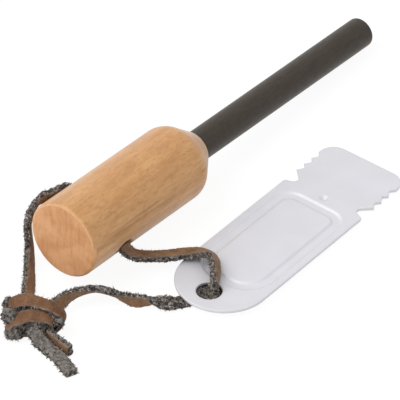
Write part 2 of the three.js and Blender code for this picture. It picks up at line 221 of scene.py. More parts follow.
right_run = lace_rows([
    (-58.9, 10.4, 9.6, 0, -0.49, 0.87),
    (-58.8, 9.3, 8.6, 0, -0.4, 0.92),
    (-57.4, 7.6, 6.7, 0, -0.15, 0.99),
    (-54.4, 5.6, 5, 0.05, 0.05, 1),
    (-50.9, 2.6, 4.3, 0.09, 0.07, 1),
    (-47.2, -0.9, 4.3, 0.1, 0.07, 1),
    (-44.5, -4.1, 4.8, 0.15, -0.02, 1),
    (-43.1, -6.8, 5.4, 0.3, -0.2, 0.93),
    (-42.6, -9.2, 5.9, 0.45, -0.42, 0.79),
    (-43, -11.8, 6.2, 0.5, -0.62, 0.6),
    (-45.1, -14.3, 6.1, 0.5, -0.68, 0.54),
    (-47.6, -16.5, 5.9, 0.52, -0.74, 0.42),
    (-49.5, -17.9, 5.4, 0.58, -0.77, 0.25),
    (-51.1, -18.8, 4.4, 0.8, -0.6, 0),
    (-51.3, -18.9, 3.3, 0.85, -0.5, 0),
])
under_run = lace_rows([
    (-51.3, -18.9, 2.7, 0.87, -0.48, 0),
    (-51.35, -18.9, 2.1, 0.85, -0.48, -0.2),
    (-51.9, -18.6, 1.3, 0.6, -0.4, -0.7),
    (-53.2, -17.9, 0.95, 0.1, -0.05, -1),
    (-56.4, -16.1, 0.93, 0, 0, -1),
    (-59.2, -14.4, 0.95, 0, 0, -1),
    (-61.9, -12.8, 0.99, 0, 0, -1),
    (-63.9, -11.5, 1.7, 0.3, 0.24, -0.92),
    (-65.2, -10.1, 2.1, 0.15, 0.12, -0.98),
    (-66.3, -8.3, 2.2, -0.3, -0.24, -0.92),
    (-67.3, -6.4, 2.1, -0.7, -0.56, -0.45),
    (-68.5, -4.8, 2.1, -0.78, -0.62, -0.05),
    (-69.8, -3.2, 2.1, -0.78, -0.62, 0),
    (-70.6, -1.2, 2.3, -0.78, -0.6, -0.15),
    (-71.3, 1, 2.6, -0.68, -0.54, -0.5),
    (-72, 3.1, 3, -0.5, -0.4, -0.77),
    (-72.9, 5, 3.5, -0.48, -0.38, -0.79),
    (-74.3, 7.4, 3.9, -0.48, -0.38, -0.79),
    (-76.4, 9.5, 4, -0.6, -0.48, -0.64),
    (-78.9, 11.1, 4, -0.72, -0.57, -0.39),
    (-81.6, 12.1, 4, -0.78, -0.62, -0.09),
    (-84.6, 12.6, 4, -0.76, -0.6, 0.26),
    (-87, 12.8, 4, -0.76, -0.6, 0.26),
    (-90.4, 13, 4, -0.76, -0.6, 0.26),
])
upper_wrap = lace_rows([
    (-99.1, 22.5, 2.2, -0.6, 0.8, -0.2),
    (-98.5, 21.9, 3.8, -0.6, 0.7, 0.3),
    (-98.1, 21.3, 5.8, -0.65, 0.35, 0.65),
    (-97.2, 20.5, 7.4, -0.62, 0.1, 0.78),
    (-96.3, 18.9, 8.6, -0.5, -0.15, 0.85),
    (-95.5, 17, 9.2, -0.4, -0.25, 0.88),
    (-95, 14.9, 9.5, -0.25, -0.3, 0.92),
    (-94.4, 12.8, 9.5, -0.1, -0.28, 0.95),
    (-93.7, 10.6, 9.2, 0, -0.32, 0.95),
    (-92.9, 8.8, 8.4, 0.1, -0.45, 0.88),
    (-92, 7.4, 7, 0.25, -0.65, 0.7),
    (-91.6, 6.6, 5, 0.4, -0.88, 0.25),
    (-92, 6.9, 3, 0.45, -0.88, -0.1),
])
lower_wrap = lace_rows([
    (-103.5, 18.6, 1.9, -0.5, 0.75, 0.3),
    (-103, 18.1, 2.8, -0.3, 0.7, 0.65),
    (-102.4, 17.3, 3.8, -0.2, 0.62, 0.75),
    (-101.6, 16.4, 5, -0.25, 0.45, 0.86),
    (-100.3, 15.2, 6.4, -0.5, 0, 0.86),
    (-99, 13.7, 7.1, -0.4, -0.22, 0.89),
    (-98, 12, 7.3, -0.3, -0.25, 0.92),
    (-96.9, 10.2, 7.2, -0.2, -0.38, 0.9),
    (-95.7, 8.7, 6.7, 0, -0.5, 0.86),
    (-95, 8, 5.8, 0.25, -0.8, 0.5),
    (-94.8, 7.9, 4.6, 0.42, -0.9, -0.05),
])
long_tail = lace_rows([
    (-100.6, 11.1, 4.5, 0.3, 0.3, -0.9),
    (-101.3, 8.9, 3.4, 0.25, 0.2, -0.95),
    (-101.7, 6.5, 2.3, 0.2, 0.1, -0.97),
    (-101.9, 4.2, 1.5, 0.1, 0.1, -1),
    (-102.2, 1.4, 1.2, 0, 0, -1),
    (-103, -1.7, 1.1, 0, 0, -1),
    (-104.3, -5.1, 1.1, 0, 0, -1),
    (-105.7, -8.3, 1.2, 0, 0, -1),
])
short_tail = lace_rows([
    (-97.3, 7.7, 2.2, -0.95, 0.32, -0.05),
    (-97.8, 5.5, 2.2, -0.95, 0.32, -0.05),
    (-98.3, 3.1, 2.15, -0.95, 0.32, -0.05),
    (-98.7, 0.6, 2.1, -0.95, 0.32, 0),
    (-99.1, -2.1, 2.1, -0.95, 0.32, 0),
])

# Camera
camera_place = Vector((-0.79886, -0.60665, 0.83562))
camera_target = Vector((-0.01885, 0.01247, 0))
camera_lens = 378.7
camera_sensor = 36
camera_reach = 20


def add_object(name, data):
    obj = bpy.data.objects.new(name, data)
    bpy.context.scene.collection.objects.link(obj)
    return obj


def make_camera():
    data = bpy.data.cameras.new("camera")
    data.lens = camera_lens
    data.sensor_width = camera_sensor
    data.clip_end = camera_reach
    camera = add_object("camera", data)
    camera.location = camera_place
    camera.rotation_euler = (camera_target - camera_place).to_track_quat("-Z", "Y").to_euler()
    bpy.context.scene.camera = camera


make_camera()


def set_inputs(node, values):
    for name, value in values.items():
        node.inputs[name].default_value = value


class Nodes:
    """Makes one material, adds nodes to it and links them."""

    def __init__(self, name, color, roughness, metallic=0.0, specular=0.5):
        self.material = bpy.data.materials.new(name)
        self.material.use_nodes = True
        self.tree = self.material.node_tree
        self.shader = self.tree.nodes["Principled BSDF"]
        set_inputs(self.shader, {"Base Color": (*color, 1), "Roughness": roughness,
                                 "Metallic": metallic, "Specular IOR Level": specular})
        self.place = self.add("ShaderNodeTexCoord").outputs["Object"]

    def add(self, kind, **settings):
        node = self.tree.nodes.new(kind)
        for key, value in settings.items():
            setattr(node, key, value)
        return node

    def link(self, source, target):
        self.tree.links.new(source, target)

    def paint(self, color):
        self.link(color, self.shader.inputs["Base Color"])

    def stretched(self, scale, rotation=(0, 0, 0), location=(0, 0, 0)):
        mapping = self.add("ShaderNodeMapping")
        set_inputs(mapping, {"Scale": scale, "Rotation": rotation, "Location": location})
        self.link(self.place, mapping.inputs["Vector"])
        return mapping.outputs["Vector"]

    def noise(self, vector, scale, detail=3.0, roughness=0.5, distortion=0.0):
        node = self.add("ShaderNodeTexNoise")
        set_inputs(node, {"Scale": scale, "Detail": detail, "Roughness": roughness, "Distortion": distortion})
        self.link(vector, node.inputs["Vector"])
        return node.outputs["Fac"]

    def ramp(self, value, stops):
        node = self.add("ShaderNodeValToRGB")
        elements = node.color_ramp.elements
        while len(elements) < len(stops):
            elements.new(1)
        for element, (position, color) in zip(elements, stops):
            element.position = position
            element.color = (*color, 1)
        self.link(value, node.inputs["Fac"])
        return node.outputs["Color"]

    def mask(self, value, low, high):
        return self.ramp(value, [(low, (0, 0, 0)), (high, (1, 1, 1))])

    def mix(self, factor, first, second, blend_type="MIX"):
        node = self.add("ShaderNodeMix", data_type="RGBA", blend_type=blend_type)
        for value, socket in ((factor, node.inputs[0]), (first, node.inputs[6]), (second, node.inputs[7])):
            if isinstance(value, bpy.types.NodeSocket):
                self.link(value, socket)
            elif isinstance(value, tuple):
                socket.default_value = (*value, 1)
            else:
                socket.default_value = value
        return node.outputs[2]

    def shade(self, color, amount, value, low, tone, high):
        """The color times a tone that fades to white between two values."""
        return self.mix(amount, color, self.ramp(value, [(low, tone), (high, (1, 1, 1))]), "MULTIPLY")

    def stain(self, color, amount, mask, tint):
        """The color with a tint over it where the mask is white."""
        return self.mix(self.mix(amount, (0, 0, 0), mask), color, tint)

    def vary_roughness(self, value, low, high):
        grays = self.ramp(value, [(0.3, (low, low, low)), (0.7, (high, high, high))])
        self.link(grays, self.shader.inputs["Roughness"])

    def bump(self, height, strength, distance):
        node = self.add("ShaderNodeBump")
        set_inputs(node, {"Strength": strength, "Distance": distance})
        self.link(height, node.inputs["Height"])
        self.link(node.outputs["Normal"], self.shader.inputs["Normal"])


def noisy_material(name, color, roughness, noise_settings, stops, bump=None):
    """A surface whose tone, and where asked its relief, comes from one noise."""
    nodes = Nodes(name, color, roughness)
    spots = nodes.noise(nodes.place, *noise_settings)
    nodes.paint(nodes.ramp(spots, stops))
    if bump is not None:
        nodes.bump(spots, *bump)
    return nodes.material


def smooth_leather(name, dark, plain, light):
    nodes = Nodes(name, plain, 0.7, specular=0.18)
    patches = nodes.noise(nodes.place, 320, 4, 0.6)
    tone = nodes.ramp(patches, [(0.3, dark), (0.52, plain), (0.75, light)])
    pores = nodes.noise(nodes.place, 2600, 2, 0.6)
    nodes.paint(nodes.shade(tone, 0.8, pores, 0.32, (0.6, 0.54, 0.48), 0.5))
    nodes.bump(nodes.noise(nodes.place, 1500, 3, 0.6), 0.4, 0.15 * MM)
    return nodes.material


def rough_leather():
    nodes = Nodes("lace_flesh", (0.1, 0.085, 0.074), 0.95)
    clumps = nodes.noise(nodes.place, 1150, 3, 0.65)
    tone = nodes.ramp(clumps, [
        (0.37, (0.024, 0.019, 0.016)),
        (0.5, (0.14, 0.12, 0.105)),
        (0.62, (0.56, 0.505, 0.465)),
    ])
    patches = nodes.noise(nodes.place, 300, 2, 0.5)
    nodes.paint(nodes.shade(tone, 1, patches, 0.38, (0.5, 0.48, 0.46), 0.62))
    nodes.bump(clumps, 0.9, 0.4 * MM)
    return nodes.material


def wood_bands(nodes):
    """Broad soft bands of growth that lie nearly along the handle."""
    wave = nodes.add("ShaderNodeTexWave", wave_type="RINGS", rings_direction="X", wave_profile="SIN")
    set_inputs(wave, {"Scale": 60, "Distortion": 9, "Detail": 3, "Detail Scale": 1.4})
    place = nodes.stretched((0.16, 1, 1), rotation=(0.3, 0.02, 0.05), location=(0, 0.031, -0.018))
    nodes.link(place, wave.inputs["Vector"])
    return wave.outputs["Fac"]


def side_zone(nodes):
    """White in one strip along the handle's side, a few millimetres above its axis, where the long dark
    streaks are laid.
    """
    apart = nodes.add("ShaderNodeSeparateXYZ")
    nodes.link(nodes.place, apart.inputs[0])
    scaled = nodes.add("ShaderNodeMath", operation="MULTIPLY_ADD")
    nodes.link(apart.outputs["Z"], scaled.inputs[0])
    scaled.inputs[1].default_value = 50
    scaled.inputs[2].default_value = 0.5
    return nodes.ramp(scaled.outputs[0], [
        (0.5, (0, 0, 0)),
        (0.6, (1, 1, 1)),
        (0.68, (1, 1, 1)),
        (0.8, (0.12, 0.12, 0.12)),
    ])


def beech_side():
    nodes = Nodes("beech_side", (0.66, 0.34, 0.145), 0.5, specular=0.55)
    color = nodes.ramp(wood_bands(nodes), [
        (0.0, (0.69, 0.362, 0.138)),
        (0.5, (0.725, 0.39, 0.155)),
        (1.0, (0.75, 0.413, 0.17)),
    ])
    warm = nodes.noise(nodes.stretched((55, 150, 150)), 1, 3, 0.6, 0.5)
    color = nodes.shade(color, 1, warm, 0.36, (0.9, 0.83, 0.75), 0.6)
    fibres = nodes.noise(nodes.stretched((240, 1500, 1500)), 1, 3, 0.6)
    color = nodes.shade(color, 0.75, fibres, 0.35, (0.9, 0.84, 0.77), 0.56)
    flecks = nodes.noise(nodes.stretched((420, 1350, 1350)), 1, 2, 0.6)
    color = nodes.stain(color, 0.42, nodes.mask(flecks, 0.57, 0.68), (0.42, 0.19, 0.065))
    blotches = nodes.noise(nodes.stretched((190, 430, 430), location=(0.3, 0.1, 0)), 1, 4, 0.7, 1.4)
    color = nodes.stain(color, 0.55, nodes.mask(blotches, 0.5, 0.66), (0.51, 0.245, 0.088))
    streaks = nodes.noise(nodes.stretched((45, 950, 950), location=(0.1, 0.2, 0)), 1, 3, 0.6, 0.3)
    streak_mask = nodes.mix(1, nodes.mask(streaks, 0.46, 0.62), side_zone(nodes), "MULTIPLY")
    nodes.paint(nodes.stain(color, 0.62, streak_mask, (0.4, 0.175, 0.058)))
    nodes.bump(fibres, 0.1, 0.08 * MM)
    set_inputs(nodes.shader, {"Sheen Weight": 0.5, "Sheen Roughness": 0.4})
    return nodes.material


# Painted highlight: a lighter wood for the thin line where light catches the butt's ridge.
def beech_rim_painted_highlight():
    nodes = Nodes("beech_rim_painted_highlight", (0.76, 0.44, 0.235), 0.5, specular=0.35)
    grain = nodes.noise(nodes.stretched((500, 900, 900)), 1, 3, 0.6)
    nodes.paint(nodes.ramp(grain, [(0.32, (0.69, 0.375, 0.185)), (0.6, (0.78, 0.46, 0.25))]))
    return nodes.material


def beech_end():
    nodes = Nodes("beech_end", (0.73, 0.38, 0.185), 0.55, specular=0.3)
    lines = nodes.noise(nodes.stretched((300, 1000, 130), rotation=(-0.75, 0, 0)), 1, 3, 0.6, 0.6)
    tone = nodes.ramp(lines, [
        (0.32, (0.7, 0.345, 0.156)),
        (0.5, (0.785, 0.41, 0.2)),
        (0.7, (0.82, 0.445, 0.226)),
    ])
    patches = nodes.noise(nodes.stretched((60, 130, 190), location=(0, 0.4, 0.2)), 1, 3, 0.6)
    color = nodes.shade(tone, 1, patches, 0.38, (0.86, 0.79, 0.72), 0.6)
    pores = nodes.noise(nodes.place, 3200, 1, 0.5)
    nodes.paint(nodes.shade(color, 0.7, pores, 0.28, (0.82, 0.74, 0.66), 0.42))
    nodes.bump(lines, 0.06, 0.1 * MM)
    return nodes.material


def ferrocerium():
    nodes = Nodes("ferrocerium", (0.046, 0.038, 0.03), 0.4, specular=0.32)
    mottle = nodes.noise(nodes.stretched((300, 900, 900)), 1, 4, 0.6)
    nodes.paint(nodes.ramp(mottle, [(0.3, (0.033, 0.0235, 0.0155)), (0.7, (0.051, 0.0375, 0.025))]))
    nodes.vary_roughness(mottle, 0.46, 0.38)
    nodes.bump(nodes.noise(nodes.stretched((700, 1600, 1600)), 1, 3, 0.6), 0.08, 0.05 * MM)
    return nodes.material


def satin_steel():
    nodes = Nodes("striker_steel", (0.74, 0.735, 0.775), 0.6, 0.35)
    brushed = nodes.noise(nodes.stretched((260, 2600, 900)), 1, 3, 0.6)
    nodes.vary_roughness(brushed, 0.56, 0.64)
    wear = nodes.noise(nodes.place, 120, 3, 0.5)
    nodes.paint(nodes.ramp(wear, [(0.3, (0.725, 0.72, 0.76)), (0.7, (0.755, 0.75, 0.79))]))
    nodes.bump(brushed, 0.04, 0.02 * MM)
    return nodes.material


# Two copies of the lace's smooth leather: the knot's wraps darker and more saturated, the runs lighter. The
# difference is painted shade on the wraps and painted light on the runs.
run_leather_painted_light = smooth_leather("lace_grain", (0.185, 0.102, 0.055), (0.28, 0.16, 0.088), (0.365, 0.22, 0.13))
band_leather_painted_shade = smooth_leather("knot_grain_painted_shade", (0.14, 0.066, 0.034), (0.21, 0.105, 0.055), (0.29, 0.152, 0.084))
edge_leather = noisy_material(
    "lace_cut_edge", (0.27, 0.2, 0.155), 0.75, (900, 3, 0.6),
    [(0.34, (0.1, 0.066, 0.047)), (0.6, (0.26, 0.19, 0.143))],
    bump=(0.5, 0.2 * MM))
flesh_leather = rough_leather()
suede_leather = noisy_material(
    "lace_suede", (0.2, 0.178, 0.158), 0.95, (900, 4, 0.65),
    [(0.34, (0.09, 0.077, 0.067)), (0.5, (0.19, 0.168, 0.149)), (0.66, (0.32, 0.29, 0.265))],
    bump=(0.7, 0.3 * MM))
nap_leather = noisy_material(
    "lace_nap", (0.1, 0.085, 0.074), 0.9, (1100, 2, 0.6),
    [(0.36, (0.026, 0.021, 0.018)), (0.5, (0.145, 0.125, 0.11)), (0.64, (0.58, 0.525, 0.485))])


def smooth_path(rows, closed=False):
    """Evenly spaced points and facings on a centripetal spline through the rows."""
    points = [Vector(row[:3]) for row in rows]
    facings = [Vector(row[3:]) for row in rows]
    if closed:
        points = [points[-1], *points, points[0], points[1]]
        facings.append(facings[0])
    else:
        points = [2 * points[0] - points[1], *points, 2 * points[-1] - points[-2]]
    spans = len(facings) - 1
    dense = []
    for i in range(spans):
        p0, p1, p2, p3 = points[i:i + 4]
        d0, d1, d2 = (max((b - a).length ** 0.5, 1e-6) for a, b in ((p0, p1), (p1, p2), (p2, p3)))
        t1 = ((p1 - p0) / d0 - (p2 - p0) / (d0 + d1) + (p2 - p1) / d1) * d1
        t2 = ((p2 - p1) / d1 - (p3 - p1) / (d1 + d2) + (p3 - p2) / d2) * d1
        for j in range(spline_points):
            t = j / spline_points
            place = (p1 + t1 * t + (3 * (p2 - p1) - 2 * t1 - t2) * t ** 2
                     + (2 * (p1 - p2) + t1 + t2) * t ** 3)
            dense.append((place, facings[i].lerp(facings[i + 1], t)))
    dense.append((points[spans + 1].copy(), facings[spans].copy()))
    runs = [0.0]
    for (a, _), (b, _) in zip(dense, dense[1:]):
        runs.append(runs[-1] + (b - a).length)
    steps = max(4, round(runs[-1] / lace_step))
    targets = np.linspace(0, runs[-1], steps + 1)
    places = np.array([[*p] for p, _ in dense])
    directions = np.array([[*f] for _, f in dense])
    place = np.stack([np.interp(targets, runs, places[:, k]) for k in range(3)], 1)
    direction = np.stack([np.interp(targets, runs, directions[:, k]) for k in range(3)], 1)
    return [Vector(p) for p in place], [Vector(d) for d in direction]


def lace_frames(places, facings, closed=False):
    """Tangent, across and outward directions at each point."""
    frames = []
    last = len(places) - 1
    for i, facing in enumerate(facings):
        before = places[i - 1] if i > 0 else (places[last - 1] if closed else places[0])
        after = places[i + 1] if i < last else (places[1] if closed else places[last])
        tangent = (after - before).normalized()
        across = facing.cross(tangent).normalized()
        frames.append((tangent, across, tangent.cross(across)))
    return frames


def clamped(share):
    return min(1, max(0, share))


def smooth_share(share):
    share = clamped(share)
    return share * share * (3 - 2 * share)


def lace_section(half_width, half_thickness):
    """Across and outward shares of a flat section with rounded edges, evenly spaced round it."""
    dense = []
    for i in range(section_angles + 1):
        angle = 2 * math.pi * i / section_angles
        side, up = math.cos(angle), math.sin(angle)
        dense.append((
            math.copysign(abs(side) ** lace_corner_power, side),
            math.copysign(abs(up) ** lace_corner_power, up),
        ))
    runs = [0.0]
    for (side_a, up_a), (side_b, up_b) in zip(dense, dense[1:]):
        runs.append(runs[-1] + math.hypot((side_b - side_a) * half_width, (up_b - up_a) * half_thickness))
    targets = np.linspace(0, runs[-1], lace_section_points + 1)[:-1]
    sides = np.interp(targets, runs, [side for side, _ in dense])
    ups = np.interp(targets, runs, [up for _, up in dense])
    return list(zip(sides.tolist(), ups.tolist()))


def nap_share(side, up):
    """How rough the surface is: 0 on the smooth side, 1 on the edges and the flesh side."""
    near_edge = clamped((abs(side) - rough_edge_from) / rough_edge_run) * rough_edge_share
    return max(near_edge, clamped((rough_side_from - up) / rough_side_run))


def rough_height(place):
    coarse = noise.noise(place / nap_coarse_size)
    fine = noise.noise(place / nap_fine_size + Vector((7.3, 2.1, 5.7)))
    return coarse * nap_coarse_height + fine * nap_fine_height


def new_mesh(name, vertices, faces):
    mesh = bpy.data.meshes.new(name)
    mesh.from_pydata(vertices, [], faces)
    mesh.update()
    return mesh


def ring_faces(low, high, count):
    """Four-sided faces between two rings of vertices, given by the first index of each."""
    faces = []
    for k in range(count):
        after = (k + 1) % count
        faces.append((low + k, low + after, high + after, high + k))
    return faces


def mesh_object(name, vertices, faces, materials, face_materials=None, smooth=True):
    mesh = new_mesh(name, vertices, faces)
    for material in materials:
        mesh.materials.append(material)
    if face_materials is not None:
        mesh.polygons.foreach_set("material_index", face_materials)
    if smooth:
        mesh.shade_smooth()
    mesh.update()
    return add_object(name, mesh)


def strip_kind(side, up, style):
    """Material of a strip's face: 0 the smooth side, 1 its cut edge, 2 the rough side, 3 suede."""
    if up > smooth_side_from:
        grain_share = band_grain_share if style == "band" else lace_grain_share
        return 0 if abs(side) < grain_share else 1
    if style == "band" and abs(side) > band_edge_from and up > band_edge_low:
        return 1
    # A tail's upward rough face gets the lighter suede. Its edges keep the darker rough finish, which paints
    # the shade along them.
    if style == "tail" and up < suede_from:
        return 3
    return 2


def make_ribbon(name, rows, closed=False, half_thickness=lace_half_thickness, swell=0, swell_start=0,
                style="run"):
    """A leather strip along the rows, smooth on one side and rough on the rest."""
    places, facings = smooth_path(rows, closed)
    frames = lace_frames(places, facings, closed)
    if closed:
        places, frames = places[:-1], frames[:-1]
    section = lace_section(lace_half_width, half_thickness)
    count = len(section)
    vertices = []
    for i, (place, (_, across, outward)) in enumerate(zip(places, frames)):
        swollen = swell * smooth_share((i * lace_step - swell_start) / swell_run)
        for side, up in section:
            lift = up * half_thickness + min(up, 0) * swollen
            base = place + across * (side * lace_half_width) + outward * lift
            push = (across * side * half_thickness + outward * up * lace_half_width).normalized()
            vertex = base + push * rough_height(base) * nap_share(side, up) * nap_depths[style]
            vertex.z = max(vertex.z, floor_gap)
            vertices.append(vertex)
    faces, kinds = [], []
    rings = len(places)
    for i in range(rings if closed else rings - 1):
        faces += ring_faces(i * count, ((i + 1) % rings) * count, count)
        for (side_a, up_a), (side_b, up_b) in zip(section, section[1:] + section[:1]):
            kinds.append(strip_kind((side_a + side_b) / 2, (up_a + up_b) / 2, style))
    if not closed:
        faces.append(tuple(range(count - 1, -1, -1)))
        faces.append(tuple(range((rings - 1) * count, rings * count)))
        kinds += [2, 2]
    # The wraps take the copy with painted shade, the other pieces the copy with painted light.
    smooth_side = band_leather_painted_shade if style == "band" else run_leather_painted_light
    materials = [smooth_side, edge_leather, flesh_leather, suede_leather]
    ribbon = mesh_object(name, vertices, faces, materials, kinds)
    return ribbon, places, frames


def add_fibre(vertices, faces, chance, root, grow, drift, length):
    """One bent fibre with a triangular section that ends in a point."""
    width = chance.uniform(*fibre_widths) * MM
    wide = grow.cross(drift + Vector((0.01, 0.02, 0.03)))
    wide = wide.normalized() * width
    thick = grow.cross(wide).normalized() * width * 0.6
    middle = root + grow * length * 0.55 + drift * length * 0.1
    tip = root + grow * length * 0.9 + drift * length * 0.45
    base = len(vertices)
    start = root - grow * 0.2 * MM
    for center, share in ((start, 1), (middle, 0.8)):
        vertices += [center + wide * share, center - wide * share, center + thick * share]
    vertices.append(tip)
    for k in range(3):
        after = (k + 1) % 3
        faces.append((base + k, base + after, base + 3 + after, base + 3 + k))
        faces.append((base + 3 + k, base + 3 + after, base + 6))
    faces.append((base + 2, base + 1, base))


def fibre_length(chance):
    length = chance.uniform(*fibre_lengths) * MM
    return length * long_fibre_factor if chance.random() < long_fibre_share else length


def random_direction(chance):
    return Vector([chance.uniform(-1, 1) for _ in range(3)])


def lift_to_floor(vertices):
    for vertex in vertices:
        vertex.z = max(vertex.z, floor_gap)


def make_nap(name, places, frames, seed, half_thickness, per_mm):
    """Short fibres on the rough side and along both cut edges."""
    chance = random.Random(seed)
    vertices, faces = [], []
    for _ in range(int(path_length(places) / MM * per_mm)):
        spot = chance.randrange(len(places) - 1)
        tangent, across, outward = frames[spot]
        place = places[spot].lerp(places[spot + 1], chance.random())
        if chance.random() < edge_fibre_share:
            side = chance.choice((-1, 1))
            up = chance.uniform(-0.95, 0.7)
            root = place + across * side * lace_half_width * 0.97 + outward * up * half_thickness * 0.9
            grow = across * side + outward * chance.uniform(-0.8, 0.3)
        else:
            side = chance.uniform(-0.95, 0.95)
            root = place + across * side * lace_half_width - outward * half_thickness
            grow = -outward + across * chance.uniform(-0.6, 0.6)
        grow = (grow + tangent * chance.uniform(-0.8, 0.8)).normalized()
        drift = random_direction(chance) - Vector((0, 0, 0.3))
        add_fibre(vertices, faces, chance, root, grow, drift, fibre_length(chance))
    lift_to_floor(vertices)
    return mesh_object(name, vertices, faces, [nap_leather], smooth=False)


def path_length(places):
    return sum((b - a).length for a, b in zip(places, places[1:]))


def lace_piece(name, rows, seed, closed=False, half_thickness=lace_half_thickness,
               per_mm=run_fibres_per_mm, swell=flesh_swell, swell_start=0, style="run"):
    ribbon, places, frames = make_ribbon(name, rows, closed, half_thickness, swell, swell_start, style)
    nap = make_nap(name + "_nap", places, frames, seed, half_thickness, per_mm)
    return ribbon, nap, places


def ride_all(body, *pieces):
    for piece in pieces:
        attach(piece, body)


# Lace runs
left_lace, left_nap, left_places = lace_piece("lace_left", left_run, 1)
right_lace, right_nap, right_places = lace_piece("lace_right", right_run, 2)
under_lace, under_nap, under_places = lace_piece("lace_under", under_run, 3, swell_start=under_swell_start)
ride_all("handle_body", left_lace, left_nap)
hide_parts("lace_left_run")
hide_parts("lace_right_run")
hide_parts("lace_under_run")
for piece in (right_lace, right_nap):
    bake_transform(piece)
for piece in (under_lace, under_nap):
    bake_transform(piece)

# Knot: two wraps that close under it, a core between them and the folds that show beside them
upper_closing = lace_rows([
    (-93.1, 8.5, 0.9, 0.2, -0.5, -0.85),
    (-95.2, 12.5, 0.8, 0, 0, -1),
    (-97.8, 17.8, 0.8, 0, 0, -1),
    (-99.2, 21.6, 1, -0.35, 0.45, -0.8),
])
lower_closing = lace_rows([
    (-94.1, 9.3, 1.2, 0, -0.6, -0.8),
    (-96.9, 12, 0.8, 0, 0, -1),
    (-100.6, 15.7, 0.8, 0, 0, -1),
    (-103, 18.6, 0.9, -0.4, 0.4, -0.8),
])


def lace_band(name, rows, seed):
    return lace_piece(name, rows, seed, True, band_half_thickness, band_fibres_per_mm, 0, 0, "band")


upper_band, upper_nap, _ = lace_band("knot_upper", upper_wrap + upper_closing, 4)
lower_band, lower_nap, _ = lace_band("knot_lower", lower_wrap + lower_closing, 5)
long_end, long_nap, _ = lace_piece("tail_long", long_tail, 6, per_mm=tail_fibres_per_mm, style="tail")
short_end, short_nap, _ = lace_piece("tail_short", short_tail, 7, per_mm=tail_fibres_per_mm, style="tail")


def make_lump(name, center, radii, turn, seed, surface=flesh_leather):
    """A rough fold of the lace: a noisy rounded body with fibres on it."""
    chance = random.Random(seed)
    build = bmesh.new()
    bmesh.ops.create_icosphere(build, subdivisions=5, radius=1)
    spin = Matrix.Rotation(turn, 3, "Z")
    for vertex in build.verts:
        unit = vertex.co.copy()
        place = Vector(center) + spin @ Vector(unit[k] * radii[k] for k in range(3))
        swell = noise.noise(place / fold_swell_size) * fold_swell
        vertex.co = place + (spin @ unit) * (swell + rough_height(place))
    build.normal_update()
    vertices = [v.co.copy() for v in build.verts]
    faces = [tuple(v.index for v in face.verts) for face in build.faces]
    roots = [(v.co.copy(), v.normal.copy()) for v in build.verts]
    build.free()
    kinds = [0] * len(faces)
    for _ in range(int(fold_fibres * sum(radii) / (3 * MM))):
        root, normal = chance.choice(roots)
        grow = (normal + random_direction(chance) * 0.8).normalized()
        add_fibre(vertices, faces, chance, root, grow, random_direction(chance), fibre_length(chance))
    kinds += [1] * (len(faces) - len(kinds))
    lift_to_floor(vertices)
    lump = mesh_object(name, vertices, faces, [surface, nap_leather], kinds)
    return lump


# Name, center and radii in millimetres, turn in degrees and seed
lump_facts = [
    ("knot_core_mass", (-95.9, 14.4, 3.8), (6.4, 4.2, 3.2), -57, 11),
    ("knot_fold_back", (-96.4, 23.2, 4.7), (2.1, 1.6, 2.1), -20, 12),
    ("knot_fold_left", (-100.2, 19.6, 4.2), (2.7, 2.1, 3.1), -60, 13),
    ("knot_fold_front", (-104, 15.9, 2.2), (2.3, 1.8, 1.8), -50, 14),
    ("knot_fold_right", (-94.1, 6.1, 5.3), (1.3, 1.1, 1.7), -30, 15),
    ("knot_fold_tail", (-97.8, 11.6, 4), (4, 2, 2.4), -52, 16),
    ("knot_fold_low", (-100.1, 14.8, 3.4), (2, 1.4, 1.8), -40, 17),
    ("knot_bulge", (-101.8, 7.2, 1.8), (1.9, 1.3, 1.3), -50, 19),
    # This fold fills the gap between the tails in dark flesh, which stands in for the shade there.
    ("knot_fold_under_shade", (-97.8, 9.5, 1.4), (1.7, 1.3, 1.1), -50, 20),
    ("knot_fold_between", (-93.8, 7.6, 6.3), (1.2, 1.1, 1.2), -50, 21),
]
light_lumps = ("knot_fold_back", "knot_fold_left", "knot_fold_front", "knot_fold_tail", "knot_bulge")
lumps = []
for lump_name, lump_center, lump_radii, lump_turn, lump_seed in lump_facts:
    surface = suede_leather if lump_name in light_lumps else flesh_leather
    center, radii = in_metres(lump_center), in_metres(lump_radii)
    lumps.append(make_lump(lump_name, center, radii, math.radians(lump_turn), lump_seed, surface))
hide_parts("knot_upper_wrap")
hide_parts("knot_lower_wrap")
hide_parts("knot_core")
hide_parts("lace_tail_long")
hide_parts("lace_tail_short")
knot_pieces = [upper_band, upper_nap, lower_band, lower_nap, long_end, long_nap, short_end, short_nap, *lumps]
ride_all("handle_body", *knot_pieces)

# The lace bunches where it turns down through the striker's hole
hole_fold_center = (hole_middle.x + 0.4 * MM, hole_middle.y + 0.3 * MM, 1.05 * MM)
hole_fold_radii = (4.7 * MM, 4.6 * MM, 0.75 * MM)
hole_fold = make_lump("hole_fold", hole_fold_center, hole_fold_radii, 0, 18)
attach(hole_fold, "lace_loop")

# The lace inside the handle turns a quarter between the two mouths
crossing_shares = [1, 0.5, 0, -0.5, -1]
crossing_reach = 11.2 * MM
hole_place = butt + rod_axis * lace_hole_from_butt
crossing = []
for share in crossing_shares:
    turn = (1 - share) * math.pi / 4
    crossing.append((
        hole_place.x,
        hole_place.y + share * crossing_reach * math.cos(lace_hole_lean),
        hole_place.z + share * crossing_reach * math.sin(lace_hole_lean),
        -math.cos(turn),
        -math.sin(lace_hole_lean) * math.sin(turn),
        math.cos(lace_hole_lean) * math.sin(turn),
    ))
inner_lace, _, _ = make_ribbon("lace_inside", crossing)
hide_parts("lace_in_handle")
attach(inner_lace, "handle_body")


def arc(center_x, center_y, radius, start, end, segments):
    points = []
    for i in range(segments + 1):
        angle = start + (end - start) * i / segments
        points.append((center_x + radius * math.cos(angle), center_y + radius * math.sin(angle)))
    return points


